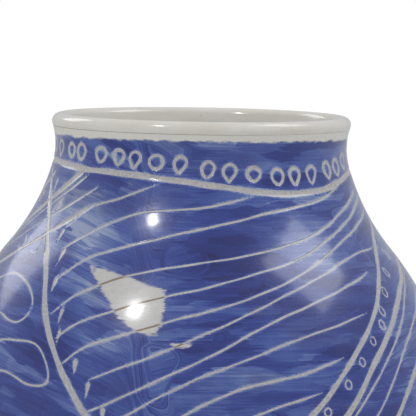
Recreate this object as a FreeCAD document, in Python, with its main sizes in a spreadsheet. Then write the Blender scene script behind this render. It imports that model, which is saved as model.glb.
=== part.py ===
"""A wide-shouldered pottery vase with a short flared neck, in millimetres.

The vase stands on a turned foot ring.  Its clay is made up of sections that were joined while soft:
ring, floor, lower wall, upper wall, neck collar and rolled lip.  Two thin coats cover the outside, a
coloured slip with clear glaze over it, and a white glaze lines the inside and wraps over the lip.
Every section is turned about the Z axis, and the vase rests on the plane Z = 0.
"""

import FreeCAD, Part
import math
import os

import Sketcher

DRIVING_SIZES = {
    # the whole vase
    "overall_height": 230.0,
    "belly_radius": 86.4,       # bare clay, at the widest place
    "belly_height": 122.0,      # height of the widest place
    "neck_radius": 47.7,        # bare clay, at the narrowest place
    "waist_radius": 53.0,       # bare clay, where the wall meets the foot ring
    # the curve from the belly to the lip
    "hollow_share": 0.425,      # how much of the shoulder's curve is the hollow one
    "throat_turn": 16.0,        # degrees of the neck's tight curve below the narrowest place
    "neck_curve": 22.0,         # radius of that tight curve
    "seam_turn": 8.0,           # degrees above the narrowest place where the lip is joined on
    "flare_turn": 19.0,         # degrees above the narrowest place where the lip's round begins
    # clay
    "wall_thickness": 4.2,
    "floor_thickness": 6.0,
    "foot_radius": 50.0,
    "foot_width": 9.0,
    "foot_height": 5.0,
    "foot_edge": 1.5,           # rounding of the ring's two lower edges
    # coats
    "slip_thickness": 0.3,
    "clear_thickness": 0.3,
    "liner_thickness": 0.5,
    "bare_band": 3.0,           # clay left bare between the foot ring and the slip
    "lip_band": 6.0,            # white band from the top of the lip down to the slip
}

doc = FreeCAD.newDocument("Vase")


# ---- sizes -------------------------------------------------------------------------------------

def make_sheet():
    """Put the driving sizes in a spreadsheet, one aliased number a row."""
    sheet = doc.addObject("Spreadsheet::Sheet", "Sizes")
    for row, (alias, size) in enumerate(DRIVING_SIZES.items(), start=1):
        sheet.set(f"A{row}", alias.replace("_", " "))
        sheet.set(f"B{row}", str(size))
        sheet.setAlias(f"B{row}", alias)
    return sheet


def make_outline():
    """Work out the curve of the wall's outer face from the driving sizes.

    From the widest place up to the neck, one bulging arc runs into one hollow arc and then into the
    neck's tight arc, each tangent to the next.  With the reach and rise of the first two known, and
    the hollow one's share of their added radii, their added radii are one over the root of a
    quadratic.  Below the widest place a single arc runs down to the waist.
    """
    outline = doc.addObject("App::VarSet", "Outline")
    derived = [
        ("neck_height", "Float", "Sizes.overall_height - Sizes.liner_thickness - Sizes.wall_thickness / 2"
                                 " - (Sizes.neck_curve + Sizes.wall_thickness / 2) * sin(Sizes.flare_turn)"),
        ("neck_centre", "Float", "Sizes.neck_radius + Sizes.neck_curve"),
        ("reach", "Float", "Sizes.belly_radius - Sizes.neck_radius"
                           " - Sizes.neck_curve * (1 - cos(Sizes.throat_turn))"),
        ("rise", "Float", "neck_height - Sizes.neck_curve * sin(Sizes.throat_turn) - Sizes.belly_height"),
        ("level_part", "Float", "1 - Sizes.hollow_share * (1 - cos(Sizes.throat_turn))"),
        ("upright_part", "Float", "Sizes.hollow_share * sin(Sizes.throat_turn)"),
        ("half_linear", "Float", "level_part * reach - upright_part * rise"),
        ("added_radii", "Float", "(reach^2 + rise^2) / (half_linear + sqrt(half_linear^2"
                                 " + (reach^2 + rise^2) * (1 - level_part^2 - upright_part^2)))"),
        ("shoulder_turn", "Angle", "acos(level_part - reach / added_radii)"),
        ("shoulder_curve", "Float", "Sizes.hollow_share * added_radii"),
        ("belly_curve", "Float", "added_radii - shoulder_curve"),
        ("belly_centre", "Float", "Sizes.belly_radius - belly_curve"),
        ("shoulder_centre", "Float", "belly_centre + added_radii * cos(shoulder_turn)"),
        ("shoulder_height", "Float", "Sizes.belly_height + added_radii * sin(shoulder_turn)"),
        ("lower_curve", "Float", "((Sizes.belly_radius - Sizes.waist_radius)^2"
                                 " + (Sizes.belly_height - Sizes.foot_height)^2)"
                                 " / (2 * (Sizes.belly_radius - Sizes.waist_radius))"),
        ("lower_centre", "Float", "Sizes.belly_radius - lower_curve"),
    ]
    for name, kind, formula in derived:
        outline.addProperty(f"App::Property{kind}", name, "Outline", "")
        outline.setExpression(name, formula)
        doc.recompute()
    return outline


make_sheet()
doc.recompute()
outline = make_outline()


def value(formula):
    """The number that a formula of sheet and outline names gives."""
    result = outline.evalExpression(formula)
    return float(getattr(result, "Value", result))


# ---- the wall's curve, as formulas ---------------------------------------------------------------

BULGING = "+"
HOLLOW = "-"


class Curve:
    """One arc of the wall's outer face; an offset is measured outwards from that face."""

    def __init__(self, centre_x, centre_z, radius, side):
        self.centre_x = centre_x
        self.centre_z = centre_z
        self.radius = radius
        self.side = side

    def radius_at(self, offset):
        return f"({self.radius} {self.side} ({offset}))"

    def at_angle(self, angle, offset="0"):
        """The point where the wall's outward normal stands at this angle above level."""
        reach = self.radius_at(offset)
        return (f"{self.centre_x} {self.side} {reach} * cos({angle})",
                f"{self.centre_z} {self.side} {reach} * sin({angle})")

    def at_height(self, height, offset="0"):
        reach = self.radius_at(offset)
        return (f"{self.centre_x} {self.side} sqrt({reach}^2 - ({height} - ({self.centre_z}))^2)",
                f"{height}")


LOWER = Curve("Outline.lower_centre", "Sizes.belly_height", "Outline.lower_curve", BULGING)
BELLY = Curve("Outline.belly_centre", "Sizes.belly_height", "Outline.belly_curve", BULGING)
SHOULDER = Curve("Outline.shoulder_centre", "Outline.shoulder_height", "Outline.shoulder_curve", HOLLOW)
NECK = Curve("Outline.neck_centre", "Outline.neck_height", "Sizes.neck_curve", HOLLOW)

LEVEL = "0"
SHOULDER_JOIN = "Outline.shoulder_turn"
THROAT_JOIN = "Sizes.throat_turn"
LIP_SEAM = "-Sizes.seam_turn"
FLARE_END = "-Sizes.flare_turn"

FLOOR_TOP = "(Sizes.foot_height + Sizes.floor_thickness)"
SLIP_START = "(Sizes.foot_height + Sizes.bare_band)"
SLIP_END = "(Sizes.overall_height - Sizes.lip_band)"

INNER_FACE = "-Sizes.wall_thickness"
LINER_FACE = "-Sizes.wall_thickness - Sizes.liner_thickness"

ROUND_X, ROUND_Z = NECK.at_angle(FLARE_END, "-Sizes.wall_thickness / 2")


def lip_round(growth):
    """The half-round over the top of the wall, grown by a coat's thickness."""
    return Curve(ROUND_X, ROUND_Z, f"(Sizes.wall_thickness / 2 + {growth})", BULGING)


# ---- profiles ------------------------------------------------------------------------------------

def line_to(point):
    return ("line", point, None, "0")


def arc_to(point, curve, offset="0"):
    return ("arc", point, curve, offset)


def bind(sketch, name, constraint, formula):
    """Add a sketch constraint whose size is a formula of the sheet."""
    index = sketch.addConstraint(constraint)
    sketch.renameConstraint(index, name)
    sketch.setExpression(f"Constraints.{name}", formula)


def draw_arc(sketch, start, end, curve, offset):
    """Add an arc from start to end and return its edge and which of its ends is the start."""
    centre = (value(curve.centre_x), value(curve.centre_z))
    angles = [math.atan2(z - centre[1], x - centre[0]) for x, z in (start, end)]
    turn = math.remainder(angles[1] - angles[0], 2 * math.pi)
    circle = Part.Circle(FreeCAD.Vector(*centre, 0), FreeCAD.Vector(0, 0, 1), value(curve.radius_at(offset)))
    if turn > 0:
        return sketch.addGeometry(Part.ArcOfCircle(circle, angles[0], angles[0] + turn)), 1
    return sketch.addGeometry(Part.ArcOfCircle(circle, angles[1], angles[1] - turn)), 2


def draw_profile(sketch, start, steps):
    """Draw a closed outline of lines and arcs, with every corner and radius bound to the sheet."""
    corner = tuple(value(formula) for formula in start)
    edges = []
    for number, (kind, point, curve, offset) in enumerate(steps, start=1):
        reached = tuple(value(formula) for formula in point)
        if kind == "line":
            line = Part.LineSegment(FreeCAD.Vector(*corner, 0), FreeCAD.Vector(*reached, 0))
            edge, first_end = sketch.addGeometry(line), 1
        else:
            edge, first_end = draw_arc(sketch, corner, reached, curve, offset)
            bind(sketch, f"curve_{number}", Sketcher.Constraint("Radius", edge, value(curve.radius_at(offset))),
                 curve.radius_at(offset))
        last_end = 3 - first_end
        if edges:
            sketch.addConstraint(Sketcher.Constraint("Coincident", *edges[-1][2:], edge, first_end))
        edges.append((edge, first_end, edge, last_end))
        place_corner(sketch, number, edge, last_end, reached, point)
        corner = reached
    sketch.addConstraint(Sketcher.Constraint("Coincident", *edges[-1][2:], *edges[0][:2]))


def place_corner(sketch, number, edge, end, place, formulas):
    """Hold one corner at its distance from the axis and its height."""
    origin = (-1, 1)
    axis = -2
    if abs(place[0]) < 1e-9:
        sketch.addConstraint(Sketcher.Constraint("PointOnObject", edge, end, axis))
    else:
        bind(sketch, f"across_{number}", Sketcher.Constraint("DistanceX", *origin, edge, end, place[0]),
             formulas[0])
    if abs(place[1]) < 1e-9:
        sketch.addConstraint(Sketcher.Constraint("PointOnObject", edge, end, -1))
    else:
        bind(sketch, f"up_{number}", Sketcher.Constraint("DistanceY", *origin, edge, end, place[1]),
             formulas[1])


def turned(name, start, steps):
    """A body turned about Z from one closed profile that begins and ends at start."""
    body = doc.addObject("PartDesign::Body", name)
    body.Label = name
    body.Placement = FreeCAD.Placement()
    sketch = body.newObject("Sketcher::SketchObject", f"{name}_profile")
    upright_plane = next(item for item in body.Origin.OriginFeatures if item.Role == "XZ_Plane")
    sketch.AttachmentSupport = [(upright_plane, "")]
    sketch.MapMode = "FlatFace"
    draw_profile(sketch, start, steps)
    doc.recompute()
    revolution = body.newObject("PartDesign::Revolution", f"{name}_turning")
    revolution.Profile = sketch
    revolution.ReferenceAxis = (sketch, ["V_Axis"])
    revolution.Angle = 360.0
    sketch.Visibility = False
    doc.recompute()
    return body


# ---- clay sections -------------------------------------------------------------------------------

def make_foot_ring():
    """The ring that the vase stands on, with its two lower edges rounded."""
    outer = "Sizes.foot_radius"
    inner = "Sizes.foot_radius - Sizes.foot_width"
    top = "Sizes.foot_height"
    body = turned("foot_ring", (inner, "0"), [
        line_to((outer, "0")),
        line_to((outer, top)),
        line_to((inner, top)),
        line_to((inner, "0")),
    ])
    turning = body.Tip
    low_edges = [f"Edge{number}" for number, edge in enumerate(turning.Shape.Edges, start=1)
                 if isinstance(edge.Curve, Part.Circle) and abs(edge.Curve.Center.z) < 1e-6]
    rounding = body.newObject("PartDesign::Fillet", "foot_ring_rounding")
    rounding.Base = (turning, low_edges)
    rounding.setExpression("Radius", "Sizes.foot_edge")
    doc.recompute()
    return body


def make_base_floor():
    """The thick disc that closes the bottom; its edge carries on the wall's curve."""
    bottom = "Sizes.foot_height"
    return turned("base_floor", ("0", bottom), [
        line_to(LOWER.at_height(bottom)),
        arc_to(LOWER.at_height(FLOOR_TOP), LOWER),
        line_to(("0", FLOOR_TOP)),
        line_to(("0", bottom)),
    ])


def make_lower_wall():
    """The wall from the floor up to the widest place."""
    start = LOWER.at_height(FLOOR_TOP)
    return turned("lower_wall", start, [
        arc_to(LOWER.at_angle(LEVEL), LOWER),
        line_to(LOWER.at_angle(LEVEL, INNER_FACE)),
        arc_to(LOWER.at_height(FLOOR_TOP, INNER_FACE), LOWER, INNER_FACE),
        line_to(start),
    ])


def make_upper_wall():
    """The wall from the widest place, over the shoulder, to the root of the neck."""
    start = BELLY.at_angle(LEVEL)
    return turned("upper_wall", start, [
        arc_to(BELLY.at_angle(SHOULDER_JOIN), BELLY),
        arc_to(SHOULDER.at_angle(THROAT_JOIN), SHOULDER),
        line_to(SHOULDER.at_angle(THROAT_JOIN, INNER_FACE)),
        arc_to(SHOULDER.at_angle(SHOULDER_JOIN, INNER_FACE), SHOULDER, INNER_FACE),
        arc_to(BELLY.at_angle(LEVEL, INNER_FACE), BELLY, INNER_FACE),
        line_to(start),
    ])


def make_neck_collar():
    """The short waisted neck."""
    start = NECK.at_angle(THROAT_JOIN)
    return turned("neck_collar", start, [
        arc_to(NECK.at_angle(LIP_SEAM), NECK),
        line_to(NECK.at_angle(LIP_SEAM, INNER_FACE)),
        arc_to(NECK.at_angle(THROAT_JOIN, INNER_FACE), NECK, INNER_FACE),
        line_to(start),
    ])


def make_lip_roll():
    """The flared top of the neck, ending in a half-round lip."""
    start = NECK.at_angle(LIP_SEAM)
    top = lip_round("0")
    crest = top.at_angle("90")
    return turned("lip_roll", start, [
        arc_to(NECK.at_angle(FLARE_END), NECK),
        arc_to(crest, top),
        arc_to(NECK.at_angle(FLARE_END, INNER_FACE), top),
        arc_to(NECK.at_angle(LIP_SEAM, INNER_FACE), NECK, INNER_FACE),
        line_to(start),
    ])


# ---- coats ---------------------------------------------------------------------------------------

def outer_coat(name, under, over):
    """A coat on the outside between two offsets, from the bare band up to the white lip band."""
    start = LOWER.at_height(SLIP_START, under)
    return turned(name, start, [
        arc_to(LOWER.at_angle(LEVEL, under), LOWER, under),
        arc_to(BELLY.at_angle(SHOULDER_JOIN, under), BELLY, under),
        arc_to(SHOULDER.at_angle(THROAT_JOIN, under), SHOULDER, under),
        arc_to(NECK.at_height(SLIP_END, under), NECK, under),
        line_to(NECK.at_height(SLIP_END, over)),
        arc_to(NECK.at_angle(THROAT_JOIN, over), NECK, over),
        arc_to(SHOULDER.at_angle(SHOULDER_JOIN, over), SHOULDER, over),
        arc_to(BELLY.at_angle(LEVEL, over), BELLY, over),
        arc_to(LOWER.at_height(SLIP_START, over), LOWER, over),
        line_to(start),
    ])


def make_liner_glaze():
    """White glaze over the floor, up the inside, over the lip and down to the slip's edge."""
    coat = "Sizes.liner_thickness"
    coat_top = f"({FLOOR_TOP} + {coat})"
    under = lip_round("0")
    over = lip_round(coat)
    return turned("liner_glaze", ("0", FLOOR_TOP), [
        line_to(LOWER.at_height(FLOOR_TOP, INNER_FACE)),
        arc_to(LOWER.at_angle(LEVEL, INNER_FACE), LOWER, INNER_FACE),
        arc_to(BELLY.at_angle(SHOULDER_JOIN, INNER_FACE), BELLY, INNER_FACE),
        arc_to(SHOULDER.at_angle(THROAT_JOIN, INNER_FACE), SHOULDER, INNER_FACE),
        arc_to(NECK.at_angle(FLARE_END, INNER_FACE), NECK, INNER_FACE),
        arc_to(under.at_angle("90"), under),
        arc_to(NECK.at_angle(FLARE_END), under),
        arc_to(NECK.at_height(SLIP_END), NECK),
        line_to(NECK.at_height(SLIP_END, coat)),
        arc_to(NECK.at_angle(FLARE_END, coat), NECK, coat),
        arc_to(over.at_angle("90"), over),
        arc_to(NECK.at_angle(FLARE_END, LINER_FACE), over),
        arc_to(NECK.at_angle(THROAT_JOIN, LINER_FACE), NECK, LINER_FACE),
        arc_to(SHOULDER.at_angle(SHOULDER_JOIN, LINER_FACE), SHOULDER, LINER_FACE),
        arc_to(BELLY.at_angle(LEVEL, LINER_FACE), BELLY, LINER_FACE),
        arc_to(LOWER.at_height(coat_top, LINER_FACE), LOWER, LINER_FACE),
        line_to(("0", coat_top)),
        line_to(("0", FLOOR_TOP)),
    ])


def check_document(bodies):
    """Stop if any object failed or any section has no sound shape."""
    for item in doc.Objects:
        if "Invalid" in item.State or "Error" in item.State:
            raise RuntimeError(f"{item.Label} failed: {item.State}")
    for body in bodies:
        if body.Shape.isNull() or not body.Shape.isValid() or len(body.Shape.Solids) != 1:
            raise RuntimeError(f"{body.Label} has no sound solid")


bodies = [
    make_foot_ring(),
    make_base_floor(),
    make_lower_wall(),
    make_upper_wall(),
    make_neck_collar(),
    make_lip_roll(),
    outer_coat("blue_slip", "0", "Sizes.slip_thickness"),
    outer_coat("clear_glaze", "Sizes.slip_thickness", "Sizes.slip_thickness + Sizes.clear_thickness"),
    make_liner_glaze(),
]
doc.recompute()
check_document(bodies)

os.makedirs("parts", exist_ok=True)
for body in bodies:
    body.Shape.exportStep(f"parts/{body.Label}.step")
    box = body.Shape.optimalBoundingBox(False)
    print(f"{body.Label}: {body.Shape.Volume:.1f} mm3, radius {box.XMax:.2f}, Z {box.ZMin:.2f} to {box.ZMax:.2f}")
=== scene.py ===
import math

import bpy
import mathutils
import numpy as np
from mathutils.geometry import delaunay_2d_cdt
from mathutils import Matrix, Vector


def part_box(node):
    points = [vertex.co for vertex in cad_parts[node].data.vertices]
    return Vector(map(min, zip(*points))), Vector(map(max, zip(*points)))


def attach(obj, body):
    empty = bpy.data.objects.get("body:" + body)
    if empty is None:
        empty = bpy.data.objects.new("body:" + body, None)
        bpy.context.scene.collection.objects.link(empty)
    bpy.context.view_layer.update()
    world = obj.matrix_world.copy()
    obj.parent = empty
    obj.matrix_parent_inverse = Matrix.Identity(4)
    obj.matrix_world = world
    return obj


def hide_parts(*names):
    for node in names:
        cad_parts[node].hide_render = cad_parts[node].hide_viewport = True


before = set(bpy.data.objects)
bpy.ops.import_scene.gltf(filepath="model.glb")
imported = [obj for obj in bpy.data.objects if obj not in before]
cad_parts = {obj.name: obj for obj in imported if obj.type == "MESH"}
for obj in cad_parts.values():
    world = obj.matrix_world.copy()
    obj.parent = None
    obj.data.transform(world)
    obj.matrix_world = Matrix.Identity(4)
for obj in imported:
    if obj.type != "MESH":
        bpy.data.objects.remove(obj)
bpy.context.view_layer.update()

MM = 0.001
SEED = 7

# ---- the outline of the bare clay, in millimetres, as the CAD sections have it ---------------------

OVERALL_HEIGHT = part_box("liner_glaze")[1][2] / MM
BELLY_RADIUS = 86.4
BELLY_HEIGHT = 122.0
NECK_RADIUS = 47.7
WAIST_RADIUS = 53.0
HOLLOW_SHARE = 0.425
THROAT_TURN = math.radians(16.0)
NECK_CURVE = 22.0
FLARE_TURN = math.radians(19.0)
WALL = 4.2
FLOOR_THICKNESS = 6.0
FOOT_RADIUS = 50.0
FOOT_WIDTH = 9.0
FOOT_HEIGHT = 5.0
FOOT_EDGE = 1.5
LINER = 0.5
OUTER_COAT = 0.6
SLIP_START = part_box("clear_glaze")[0][2] / MM

NECK_HEIGHT = OVERALL_HEIGHT - LINER - WALL / 2 - (NECK_CURVE + WALL / 2) * math.sin(FLARE_TURN)
NECK_CENTRE = NECK_RADIUS + NECK_CURVE


def shoulder_arcs():
    """The bulging and the hollow arc between the widest place and the neck's tight arc."""
    reach = BELLY_RADIUS - NECK_RADIUS - NECK_CURVE * (1 - math.cos(THROAT_TURN))
    rise = NECK_HEIGHT - NECK_CURVE * math.sin(THROAT_TURN) - BELLY_HEIGHT
    level = 1 - HOLLOW_SHARE * (1 - math.cos(THROAT_TURN))
    upright = HOLLOW_SHARE * math.sin(THROAT_TURN)
    half = level * reach - upright * rise
    square = reach ** 2 + rise ** 2
    added = square / (half + math.sqrt(half ** 2 + square * (1 - level ** 2 - upright ** 2)))
    return added, math.acos(level - reach / added)


ADDED_RADII, SHOULDER_TURN = shoulder_arcs()
SHOULDER_CURVE = HOLLOW_SHARE * ADDED_RADII
BELLY_CURVE = ADDED_RADII - SHOULDER_CURVE
BELLY_CENTRE = BELLY_RADIUS - BELLY_CURVE
SHOULDER_CENTRE = BELLY_CENTRE + ADDED_RADII * math.cos(SHOULDER_TURN)
SHOULDER_HEIGHT = BELLY_HEIGHT + ADDED_RADII * math.sin(SHOULDER_TURN)
LOWER_CURVE = (((BELLY_RADIUS - WAIST_RADIUS) ** 2 + (BELLY_HEIGHT - FOOT_HEIGHT) ** 2)
               / (2 * (BELLY_RADIUS - WAIST_RADIUS)))
LOWER_CENTRE = BELLY_RADIUS - LOWER_CURVE


def wall_at(height, offset=0.0):
    """Radius of the wall's outer face moved out by offset, and the slope angle of its outward normal."""
    height = np.asarray(height, float)
    arcs = [  # centre across, centre height, radius, bulging or hollow, top of the stretch
        (LOWER_CENTRE, BELLY_HEIGHT, LOWER_CURVE + offset, 1, BELLY_HEIGHT),
        (BELLY_CENTRE, BELLY_HEIGHT, BELLY_CURVE + offset, 1,
         BELLY_HEIGHT + (BELLY_CURVE + offset) * math.sin(SHOULDER_TURN)),
        (SHOULDER_CENTRE, SHOULDER_HEIGHT, SHOULDER_CURVE - offset, -1,
         NECK_HEIGHT - (NECK_CURVE - offset) * math.sin(THROAT_TURN)),
        (NECK_CENTRE, NECK_HEIGHT, NECK_CURVE - offset, -1, math.inf),
    ]
    radius, angle = np.empty_like(height), np.empty_like(height)
    floor = -math.inf
    for across, centre, curve, side, top in arcs:
        here = (height > floor) & (height <= top)
        sine = np.clip(side * (height[here] - centre) / curve, -1, 1)
        radius[here] = across + side * curve * np.sqrt(1 - sine ** 2)
        angle[here] = np.arcsin(sine)
        floor = top
    return radius, angle


# ---- the finished outer surface ----------------------------------------------------------------------

COAT_TOP = 226.0             # the coloured coat's mesh ends here, on the flare under the lip
EDGE_ROUNDING = 1.4          # the glaze thins out over this height at its lower edge
EDGE_THINNING = 0.45         # and by this much
LIP_THINNING_START = 217.0   # the coat thins to the liner's thickness from here up
TABLE_STEP = 0.25            # spacing of the table that turns height into distance along the surface

TABLE_HEIGHT = np.arange(SLIP_START, COAT_TOP + TABLE_STEP, TABLE_STEP).clip(max=COAT_TOP)
TABLE_RADIUS = wall_at(TABLE_HEIGHT, OUTER_COAT)[0]
TABLE_ALONG = np.concatenate([[0.0], np.cumsum(np.hypot(np.diff(TABLE_HEIGHT), np.diff(TABLE_RADIUS)))])
COAT_LENGTH = TABLE_ALONG[-1]


def along_of(height):
    return np.interp(height, TABLE_HEIGHT, TABLE_ALONG)


def height_of(along):
    return np.interp(along, TABLE_ALONG, TABLE_HEIGHT)


def hand_wobble(azimuth, height):
    """How far a hand-thrown wall strays from a true circle, in millimetres."""
    turn = np.radians(azimuth)
    return (0.16 * np.sin(2 * turn + 0.7 + height / 90) + 0.08 * np.sin(3 * turn + height / 35)
            + 0.05 * np.sin(5 * turn - height / 22) + 0.05 * np.sin(height / 6.5 + turn))


def coat_lift(height):
    """Thickness of slip and glaze over the clay: full over the body, thinning to the liner's at the lip."""
    to_lip = np.clip((height - LIP_THINNING_START) / (COAT_TOP - LIP_THINNING_START), 0, 1)
    rounding = np.clip((height - SLIP_START) / EDGE_ROUNDING, 0, 1)
    thinned = EDGE_THINNING * (1 - np.sqrt(1 - (1 - rounding) ** 2))
    return OUTER_COAT + (LINER - OUTER_COAT) * to_lip - thinned


def outer_points(azimuth, height, lift):
    """Places on the outer surface, in metres, with the surface's normals."""
    radius, slope = wall_at(height)
    lift = lift + hand_wobble(azimuth, height)
    turn = np.radians(azimuth)
    out = np.stack([np.sin(turn), -np.cos(turn), np.zeros_like(turn)], 1)
    up = np.array([[0.0, 0.0, 1.0]])
    normal = np.cos(slope)[:, None] * out + np.sin(slope)[:, None] * up
    base = radius[:, None] * out + height[:, None] * up
    return (base + lift[:, None] * normal) * MM, normal


# ---- the scratched drawing ---------------------------------------------------------------------------
# A line is a list of (azimuth in degrees, height in millimetres).  Azimuth 0 faces the camera, and
# positive azimuths are to its right.

STATION = 0.8                # spacing of the samples along a line
WIDE = 2.0
BROAD = 1.7
THIN = 0.72

rng = np.random.default_rng(SEED)
lines = []                   # one (azimuths, heights, half widths) for each scratched line


def spline_through(points, closed):
    """A smooth curve through given points, densely sampled."""
    path = np.array(points, float)
    if closed:
        path = np.vstack([path[-1], path, path[0], path[1]])
    else:
        path = np.vstack([2 * path[0] - path[1], path, 2 * path[-1] - path[-2]])
    steps = np.linspace(0, 1, 24, endpoint=False)[:, None]
    spans = []
    for a, b, c, d in zip(path, path[1:], path[2:], path[3:]):
        spans.append(0.5 * (2 * b + (c - a) * steps + (2 * a - 5 * b + 4 * c - d) * steps ** 2
                            + (3 * b - a - 3 * c + d) * steps ** 3))
    return np.vstack(spans + [path[-2:-1]])


def scratch(points, width, closed=False, taper=(0.0, 0.0), waver=0.12):
    """Draw one line.  taper is the length over which each end narrows, and waver its unsteadiness."""
    fine = spline_through(points, closed)
    radius = wall_at(fine[:, 1], OUTER_COAT)[0]
    steps = np.hypot(np.radians(np.diff(fine[:, 0])) * radius[1:], np.diff(along_of(fine[:, 1])))
    distance = np.concatenate([[0.0], np.cumsum(steps)])
    count = max(int(distance[-1] / STATION), 6)
    at = np.linspace(0, distance[-1], count, endpoint=not closed)
    azimuth = np.interp(at, distance, fine[:, 0])
    height = np.interp(at, distance, fine[:, 1])
    phase = rng.uniform(0, 2 * math.pi, 3)
    unsteady = np.sin(at / 4.1 + phase[0]) + 0.6 * np.sin(at / 1.9 + phase[1])
    if not closed:
        height = height + waver * np.sin(at / 5.3 + phase[2]) + waver * 0.5 * np.sin(at / 2.3 + phase[0])
    half = width / 2 * (1 + 0.09 * unsteady)
    for length, from_end in zip(taper, (at, distance[-1] - at)):
        if length:
            half = half * np.clip(0.25 + 0.75 * from_end / length, 0, 1)
    lines.append((azimuth, height, half))


def ring(azimuth, height, across, upright, width, pointed=0.0, lean=0.0):
    """A small hand-drawn ring, in millimetres across and upright, sometimes pointed at the bottom."""
    radius = float(wall_at(height, OUTER_COAT)[0])
    points = []
    for step in range(10):
        angle = 2 * math.pi * (step / 10 + 0.1)
        uneven = 1 + rng.uniform(-0.06, 0.06)
        x = across / 2 * math.sin(angle) * uneven
        y = upright / 2 * math.cos(angle) * uneven
        x *= 1 - pointed * max(-math.cos(angle), 0) * 0.5
        y -= pointed * 0.8 * max(-math.cos(angle), 0) ** 3
        x += lean * y
        points.append((azimuth + math.degrees(x / radius), height + y))
    scratch(points, width, closed=True)


def tear(azimuth, height, length, width, lean=0.0):
    """A short mark pressed in with the tool and drawn down to a point."""
    radius = float(wall_at(height, OUTER_COAT)[0])
    tip = azimuth + math.degrees(lean / radius)
    scratch([(azimuth, height), ((azimuth + tip) / 2, height - length / 2), (tip, height - length)],
            width, taper=(width * 0.5, length * 0.8), waver=0.0)


# the front petal, with the lines that the other one repeats half way round

LEFT_BORDER = [(-80, 213.5), (-61, 197), (-47, 182), (-39, 167), (-30, 150), (-18, 131), (0, 111)]
RIGHT_INNER = [(112, 212), (87, 198), (66, 187), (49, 170), (37, 156), (25, 140), (12, 123), (0, 111)]
RIGHT_OUTER = [(132, 212), (110, 199), (91, 187), (64, 174), (46, 157.5), (34, 140), (20, 121), (7, 105)]
FOLLOWERS = [  # thin and broad lines that run on beside the right border, with their widths
    ([(138, 211), (99, 188), (73, 177), (58, 165.5), (43, 149), (30, 131), (16, 111)], THIN),
    ([(144, 208), (100, 184), (72, 170), (55, 157), (41, 137), (27, 117), (20, 107)], THIN),
    ([(146, 203), (104, 178), (73, 164), (58, 151), (48, 137), (36, 120), (27, 106)], BROAD),
]
VEINS = [
    [(-49, 194), (-41, 201), (-29, 205), (-15, 210)],
    [(-45, 188), (-37, 193.5), (-21, 200.5), (0, 202.5), (19, 206.5)],
    [(-41, 179), (-32, 186.5), (-14, 192.5), (18, 200), (46, 204.5), (66, 209.5)],
    [(-38, 169), (-32, 175), (-18, 182), (4, 186.5), (32, 192), (58, 200.5), (82, 208)],
    [(-35, 161), (-29, 167), (-15, 173.5), (6, 180), (30, 187), (60, 198), (88, 206)],
    [(-32, 153.5), (-25, 160.5), (-8, 168), (18, 177.5), (37, 186), (58, 194), (84, 200)],
    [(-24, 150), (-14, 156), (0, 164), (16, 173), (36, 182), (52, 187), (68, 189)],
    [(-24, 140), (-14, 147), (2, 158), (20, 169.5), (38, 176.5), (54, 182)],
    [(-19, 136), (-8, 146), (6, 155), (26, 164), (46, 170)],
    [(-13, 130), (-2, 141), (10, 149), (23, 152.5), (35, 157.5)],
    [(-7, 123), (3, 133), (13, 141), (28, 147)],
    [(-3, 118), (5, 125), (15, 132), (23, 138)],
]
TEARS = [(-67, 209), (-58, 203), (-49, 194), (-44, 188), (-41, 180), (-35, 171), (-34, 164.5),
         (-28, 156), (-24, 149.5), (-20, 142), (-14, 133)]
BORDER_RINGS = [(104, 202), (90, 194), (74, 186), (64, 181), (57, 175.5), (52, 170), (50, 166), (45, 161.5),
                (40, 155.5), (35, 149), (29, 141), (21, 132), (12, 120)]


def petal(centre, loose):
    """One large leaf-shaped panel; loose is how far a repeat strays from the first drawing."""
    def placed(points):
        return [(azimuth + centre + rng.normal(0, loose), height + rng.normal(0, loose * 0.6))
                for azimuth, height in points]

    scratch(placed(LEFT_BORDER), WIDE, taper=(16, 0))
    scratch(placed(RIGHT_INNER), BROAD)
    scratch(placed(RIGHT_OUTER), WIDE)
    for points, width in FOLLOWERS:
        scratch(placed(points), width, taper=(4, 4))
    for points in VEINS:
        scratch(placed(points), THIN * rng.uniform(0.92, 1.18), taper=(2.5, 7))
    for azimuth, height in placed(TEARS):
        tear(azimuth, height, rng.uniform(3.6, 4.8), rng.uniform(1.3, 1.8), rng.uniform(-0.3, 0.5))
    for azimuth, height in placed(BORDER_RINGS):
        ring(azimuth, height, rng.uniform(2.1, 2.7), rng.uniform(2.6, 3.2), 0.6, lean=rng.uniform(-0.3, 0.1))


# the band of rings round the neck, over one wide wavering line

NECK_LINE = [(-168, 213.8), (-122, 214.6), (-80, 214.6), (-48, 213.2), (-17, 211.8), (8, 209.2), (31, 207.1),
             (50, 207.7), (78, 211.8), (118, 213.6), (158, 213.2)]
NECK_RINGS = 40


def neck_band():
    scratch(NECK_LINE + [(NECK_LINE[0][0] + 360, NECK_LINE[0][1])], WIDE, waver=0.1)
    knots = np.array(NECK_LINE)
    for number in range(NECK_RINGS):
        azimuth = -178 + 360 / NECK_RINGS * (number + rng.uniform(-0.16, 0.16))
        below = float(np.interp(azimuth, knots[:, 0], knots[:, 1], period=360))
        ring(azimuth, below + rng.uniform(4.9, 5.6), rng.uniform(4.0, 4.6), rng.uniform(4.3, 5.0),
             rng.uniform(1.0, 1.25), pointed=rng.choice([0.0, 0.4, 0.9]), lean=rng.uniform(-0.05, 0.2))


# loose curls in the spaces between the petals

CURLS = [
    [(-70, 176), (-60, 179), (-52, 177), (-46, 172.5), (-45.5, 168), (-49, 165), (-57, 167)],
    [(-58, 158), (-49, 159.5), (-40, 159), (-35.5, 154), (-34.5, 148), (-40, 147), (-48, 150), (-56, 149)],
    [(-58, 191), (-56, 189), (-56, 186), (-59, 186)],
    [(-69, 190), (-66, 188), (-67, 186), (-70, 187)],
]


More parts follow.
